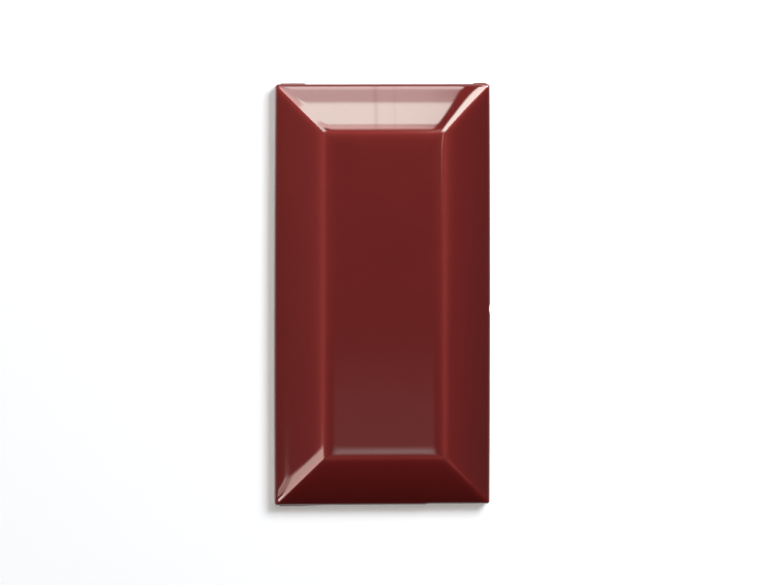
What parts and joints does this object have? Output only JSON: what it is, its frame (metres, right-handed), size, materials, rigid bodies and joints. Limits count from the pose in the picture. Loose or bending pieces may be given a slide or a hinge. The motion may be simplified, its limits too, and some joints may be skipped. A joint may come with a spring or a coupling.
{
  "type": "wall tile",
  "caption": "Rectangular glazed ceramic wall tile with a raised flat table, four mitred bevels, spacer lugs and a keyed unglazed back.",
  "frame": {"origin": "centre of the back, on the plane of the keying ribs that the tile rests on", "axes": "+X across the width, +Y along the length, +Z out of the glazed face"},
  "size_m": [0.0764, 0.149, 0.0084],
  "materials": {
    "glazed_earthenware": "dark oxblood red gloss glaze on the face and upper edges; bare pale biscuit below and on the back"
  },
  "bodies": {
    "root": {"wall_tile": "glazed_earthenware"}
  },
  "joints": []
}
